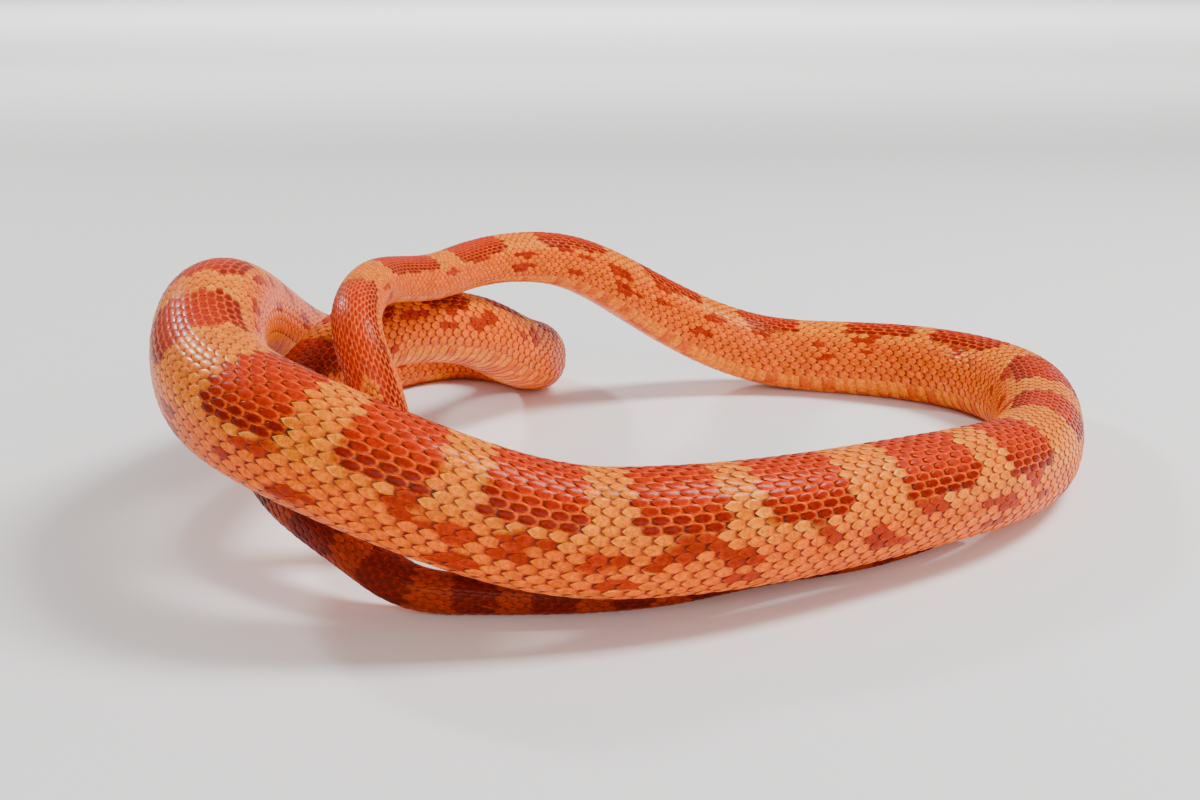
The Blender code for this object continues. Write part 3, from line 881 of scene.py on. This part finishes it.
def skin_ring(distance, count):
    """Points and colours of the skin at one distance, all the way round."""
    share = np.linspace(0.0, 2.0, count, endpoint=False)
    share = np.where(share > 1.0, share - 2.0, share)
    s = np.full(count, distance)
    pitch = along_list(SCALE_PITCH, s)
    depth = SKIN_DEPTH * pitch / FULL_PITCH
    if distance > BARE_END:
        points = surface.points(s, share, -depth)
        return points, np.tile(UNDER_SKIN, (count, 1))
    mouth_share = float(np.interp(distance, surface.stations, surface.mouth))
    to_mouth = float(surface.girth(distance)) * mouth_share
    across = np.abs(share) / mouth_share
    bare = smooth(0.2, 1.6, s - coat_start(share))
    height = -depth * bare
    plain = surface.points(s, share, np.zeros(count))
    seam = seam_distance(plain)
    plates = (1 - bare) * smooth(1.7, 1.5, across)
    height -= SEAM_DEPTH * np.exp(-(seam / SEAM_WIDTH) ** 2) * plates
    height -= PLATE_DOME * np.exp(-(seam / PLATE_REACH) ** 2) * plates
    lip = (across - 1.0) * to_mouth
    closing = smooth(MOUTH_CORNER, MOUTH_CORNER - MOUTH_FADE, s) * smooth(0.2, 1.0, s)
    height -= LIP_GROOVE * np.exp(-(lip / 0.16) ** 2) * closing
    colour = head_colours(s, share, across, seam)
    colour = mixed(colour, UNDER_SKIN, bare)
    # Painted shade in the line of the mouth.
    colour = mixed(colour, SHADE_AND_BLACK_EDGE, 0.8 * np.exp(-(lip / 0.2) ** 2) * closing)
    for name in EYES:
        middle, radius = eye_middle(name)
        gone = np.linalg.norm(plain - middle, axis=1)
        around = np.sqrt(np.maximum(gone ** 2 - (radius - EYE_SEAT) ** 2, 0.0))
        height += 0.20 * np.exp(-((around - LID_RIDGE) / 0.42) ** 2) * (gone < 4.0)
        height -= 0.35 * np.exp(-((around - LID_GROOVE) / 0.22) ** 2) * (gone < 3.0)
        # Painted shade in the groove round the eye.
        shade = 0.7 * np.exp(-((around - LID_GROOVE - 0.02) / 0.24) ** 2) * (gone < 3.0)
        colour = mixed(colour, SHADE_AND_BLACK_EDGE, shade)
    for hand in (-1.0, 1.0):
        middle = nostril_middle(hand)
        gone = np.linalg.norm(plain - middle, axis=1)
        height -= NOSTRIL_DEPTH * np.exp(-(gone / NOSTRIL_WIDTH) ** 2)
        height += 0.06 * np.exp(-((gone - 0.75) / 0.25) ** 2)
        # Painted shade in the nostril.
        colour = mixed(colour, SHADE_AND_BLACK_EDGE, np.exp(-(gone / 0.40) ** 4))
    return surface.points(s, share, height), colour


def nostril_middle(hand):
    row = int(np.argmin(np.abs(surface.stations - NOSTRIL_FROM_NOSE)))
    height = NOSTRIL_HEIGHT - REST_HEIGHT * float(radius_at(NOSTRIL_FROM_NOSE))
    half = surface.count - 1
    column = int(np.argmin(np.abs(surface.z[row][:half * 3 // 4] - height)))
    return point_on_surface(NOSTRIL_FROM_NOSE, hand * column / half, 0.0)[0]


def steps_round(count):
    """The points of a ring, and the next one of each."""
    k = np.arange(count)
    return k, (k + 1) % count


def build_skin(material):
    """One skin from the snout to the tip of the tail, under the scales."""
    fine_count, coarse_count = 288, 72
    fine_stops = np.concatenate([[0.01, 0.04, 0.08, 0.14, 0.21], np.arange(0.30, 25.0, 0.13)])
    halving_stops = [(25.3, fine_count // 2), (25.65, coarse_count)]
    coarse_stops = np.concatenate([np.arange(26.0, 60.0, 1.5),
                                   np.arange(60.0, route.length, 3.0), [route.length]])
    points, colours, faces = [], [], []
    total = 0

    def add(distance, count):
        nonlocal total
        ring, colour = skin_ring(distance, count)
        points.append(ring)
        colours.append(colour)
        total += count
        return total - count

    def join(*corners):
        faces.append(np.stack(np.broadcast_arrays(*corners), -1))

    def quads(first, second, count):
        k, k2 = steps_round(count)
        join(first + k, second + k, second + k2, first + k2)

    def halve(first, second, count):
        """Joins a ring of 2 * count points to one of count points."""
        k, k2 = steps_round(count)
        a, b, c = first + 2 * k, first + 2 * k + 1, first + 2 * k2
        join(a, second + k, second + k2, b)
        join(b, second + k2, c, c)

    points.append(point_on_surface(0.0, 0.0, 0.0))
    colours.append(np.array([HEAD_ORANGE]))
    total = 1
    last = add(fine_stops[0], fine_count)
    k, k2 = steps_round(fine_count)
    join(0, last + k, last + k2, last + k2)
    for stop in fine_stops[1:]:
        ring = add(stop, fine_count)
        quads(last, ring, fine_count)
        last = ring
    for stop, count in halving_stops:
        ring = add(stop, count)
        halve(last, ring, count)
        last = ring
    for stop in coarse_stops:
        ring = add(stop, coarse_count)
        quads(last, ring, coarse_count)
        last = ring
    points.append(point_on_surface(route.length + 0.8, 0.0, -0.5))
    colours.append(np.array([SHADED_TAIL_RED]))
    k, k2 = steps_round(coarse_count)
    join(last + k, total, last + k2, last + k2)
    corners = np.concatenate(faces)
    triangles = np.concatenate([corners[:, [0, 1, 2]], corners[:, [0, 2, 3]]])
    real = np.all(triangles != np.roll(triangles, 1, axis=1), axis=1)
    return make_mesh("skin", np.concatenate(points), triangles[real], np.concatenate(colours),
                     material)


def build_eye(name, material):
    """An eyeball under its clear scale. Its pupil lies on the axis across the head."""
    middle, radius = eye_middle(name)
    _, side, back = route.frames(np.array([EYE_FROM_NOSE]))
    hand = 1.0 if name == "eye_left" else -1.0
    outward = side[0] * hand * EYE_OUTWARD + back[0] * EYE_UPWARD
    outward /= np.linalg.norm(outward)
    forward = np.cross(outward, back[0])
    forward /= np.linalg.norm(forward)
    up = np.cross(forward, outward)
    rings, sides = EYE_RINGS, EYE_SIDES
    points, shade = [middle + outward * radius], [0.0]
    for i in range(1, rings):
        a = math.pi * i / rings
        for k in range(sides):
            b = 2.0 * math.pi * k / sides
            sideways = math.cos(b) * forward + math.sin(b) * up
            points.append(middle + radius * (math.cos(a) * outward + math.sin(a) * sideways))
            shade.append(math.sin(a) if a < math.pi / 2 else 1.0)
    points.append(middle - outward * radius)
    shade.append(1.0)
    last = len(points) - 1
    faces = []
    for k in range(sides):
        k2 = (k + 1) % sides
        faces.append((0, 1 + k, 1 + k2))
        start = 1 + (rings - 2) * sides
        faces.append((last, start + k2, start + k))
        for i in range(rings - 2):
            a = 1 + i * sides
            faces.append((a + k, a + sides + k, a + sides + k2))
            faces.append((a + k, a + sides + k2, a + k2))
    return make_mesh(name + "_ball", np.array(points), np.array(faces),
                     np.array(shade)[:, None], material)


def nodes_of(name):
    made = bpy.data.materials.new(name)
    made.use_nodes = True
    tree = made.node_tree
    return made, tree, tree.nodes["Principled BSDF"]


def set_inputs(node, values):
    for name, value in values.items():
        node.inputs[name].default_value = value


def coat_colour(tree, output):
    """The colours that the mesh itself carries."""
    node = tree.nodes.new("ShaderNodeAttribute")
    node.attribute_name = "coat_colour"
    return node.outputs[output]


def noise(tree, values):
    """Noise that lies still on the snake."""
    place = tree.nodes.new("ShaderNodeTexCoord")
    node = tree.nodes.new("ShaderNodeTexNoise")
    set_inputs(node, values)
    tree.links.new(place.outputs["Object"], node.inputs["Vector"])
    return node.outputs["Fac"]


def spread_out(tree, value, values):
    """A value brought from one range to another."""
    node = tree.nodes.new("ShaderNodeMapRange")
    set_inputs(node, values)
    tree.links.new(value, node.inputs["Value"])
    return node.outputs["Result"]


def scaled(tree, colour, value):
    node = tree.nodes.new("ShaderNodeVectorMath")
    node.operation = "SCALE"
    tree.links.new(colour, node.inputs[0])
    tree.links.new(value, node.inputs["Scale"])
    return node.outputs["Vector"]


def coat_material(name, roughness, bump_size, bump_strength, coat):
    """Skin and scales: the coat's colours, its pattern with some painted shade, mottled, with a
    fine grain.
    """
    made, tree, shader = nodes_of(name)
    new, link = tree.nodes.new, tree.links.new
    mottle = noise(tree, {"Scale": 900.0, "Detail": 4.0, "Roughness": 0.6})
    spots = spread_out(tree, mottle, {"From Min": 0.35, "From Max": 0.68,
                                      "To Min": 0.66, "To Max": 1.16})
    shade = scaled(tree, coat_colour(tree, "Color"), spots)

    specks = noise(tree, {"Scale": 2400.0, "Detail": 2.0})
    warm = spread_out(tree, specks, {"From Min": 0.36, "From Max": 0.64,
                                     "To Min": 0.70, "To Max": 1.35})
    tint = new("ShaderNodeCombineXYZ")
    tint.inputs["X"].default_value = 1.0
    link(warm, tint.inputs["Y"])
    link(warm, tint.inputs["Z"])
    speckled = new("ShaderNodeVectorMath")
    speckled.operation = "MULTIPLY"
    link(shade, speckled.inputs[0])
    link(tint.outputs["Vector"], speckled.inputs[1])
    link(speckled.outputs["Vector"], shader.inputs["Base Color"])

    bump = new("ShaderNodeBump")
    set_inputs(bump, {"Strength": bump_strength, "Distance": 0.0001})
    link(noise(tree, {"Scale": bump_size, "Detail": 3.0}), bump.inputs["Height"])
    link(bump.outputs["Normal"], shader.inputs["Normal"])
    rough = spread_out(tree, mottle, {"To Min": roughness - 0.06, "To Max": roughness + 0.08})
    link(rough, shader.inputs["Roughness"])
    set_inputs(shader, {
        "Coat Weight": coat, "Coat Roughness": 0.17, "Specular IOR Level": 0.06,
        "Specular Tint": (1.0, 0.35, 0.08, 1.0),
    })
    return made


# The eye from the axis to the edge, by the sine of the angle.
IRIS = [
    (0.29, (0.004, 0.003, 0.003, 1.0)), (0.32, (0.95, 0.30, 0.04, 1.0)),
    (0.58, (0.80, 0.12, 0.01, 1.0)), (0.76, (0.20, 0.02, 0.005, 1.0)),
]


def eye_material():
    """A round black pupil in a red orange iris, under a clear glossy scale."""
    made, tree, shader = nodes_of("eye_surface")
    link = tree.links.new
    ramp = tree.nodes.new("ShaderNodeValToRGB")
    stops = ramp.color_ramp.elements
    for number, (position, colour) in enumerate(IRIS):
        stop = stops[number] if number < 2 else stops.new(position)
        stop.position, stop.color = position, colour
    link(coat_colour(tree, "Fac"), ramp.inputs["Fac"])
    flecks = noise(tree, {"Scale": 3500.0, "Detail": 5.0})
    spots = spread_out(tree, flecks, {"From Min": 0.35, "From Max": 0.65,
                                      "To Min": 0.6, "To Max": 1.2})
    link(scaled(tree, ramp.outputs["Color"], spots), shader.inputs["Base Color"])
    set_inputs(shader, {
        "Roughness": 0.3, "Specular IOR Level": 0.15, "Coat Weight": 0.7, "Coat IOR": 1.38,
        "Coat Roughness": 0.03,
    })
    return made


# Soft lights: name, place, what it faces, size in metres and power in watts.
LIGHTS = [
    ("overhead", (0.70, 0.12, 1.1), (0.0, 0.0, 0.0), (0.36, 0.50), 21.5),
    ("left_back", (-1.05, 0.80, 0.95), (-0.05, -0.05, 0.03), (0.16, 0.16), 12.0),
    ("front", (0.3, -1.3, 0.55), (0.0, -0.05, 0.03), (1.6, 0.7), 12.5),
    ("background", (0.0, 1.3, 1.0), (0.0, 3.2, 0.0), (3.0, 0.6), 50.0),
    ("far_background", (0.0, 2.6, 1.6), (0.0, 5.5, 0.0), (4.0, 0.8), 160.0),
]
CAMERA_PLACE = (-0.01595, -0.4697, 0.15045)
CAMERA_TILT = 74.8        # degrees from straight down
CAMERA_LENS = 51.0        # millimetres, on a sensor 36 wide


def build_stage():
    """A plain pale floor, a soft studio and the photograph's camera."""
    bpy.ops.mesh.primitive_plane_add(size=14.0, location=(0.0, 0.0, 0.0))
    floor = bpy.context.object
    floor.name = "floor"
    made, _, shader = nodes_of("floor_paper")
    set_inputs(shader, {"Base Color": (0.92, 0.91, 0.90, 1.0), "Roughness": 0.7})
    floor.data.materials.append(made)

    scene = bpy.context.scene
    scene.world = bpy.data.worlds.new("studio")
    scene.world.use_nodes = True
    set_inputs(scene.world.node_tree.nodes["Background"],
               {"Color": (1.0, 0.99, 0.98, 1.0), "Strength": 0.36})

    for name, place, target, size, power in LIGHTS:
        light = bpy.data.lights.new(name, "AREA")
        light.shape = "RECTANGLE"
        light.size, light.size_y = size
        light.energy = power
        lamp = bpy.data.objects.new(name, light)
        lamp.location = place
        facing = Vector(target) - Vector(place)
        lamp.rotation_euler = facing.to_track_quat("-Z", "Y").to_euler()
        scene.collection.objects.link(lamp)

    camera = bpy.data.cameras.new("camera")
    camera.sensor_width = 36.0
    camera.lens = CAMERA_LENS
    camera.clip_start = 0.01
    holder = bpy.data.objects.new("camera", camera)
    holder.location = CAMERA_PLACE
    holder.rotation_euler = (math.radians(CAMERA_TILT), 0.0, 0.0)
    scene.collection.objects.link(holder)
    scene.camera = holder


FLESH = [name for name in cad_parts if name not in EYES]

skin_material = coat_material("snake_skin", 0.37, 2600.0, 0.25, 0.0)
scale_material = coat_material("snake_scales", 0.33, 2200.0, 0.22, 0.13)
eye_look = eye_material()

skin = build_skin(skin_material)
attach(skin, "root")
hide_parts(*FLESH)

for number, piece in enumerate(build_scales(scale_material)):
    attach(piece, "root")

belly = build_belly(scale_material)
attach(belly, "root")

for name in EYES:
    eye = build_eye(name, eye_look)
    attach(eye, "root")
    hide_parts(name)

build_stage()
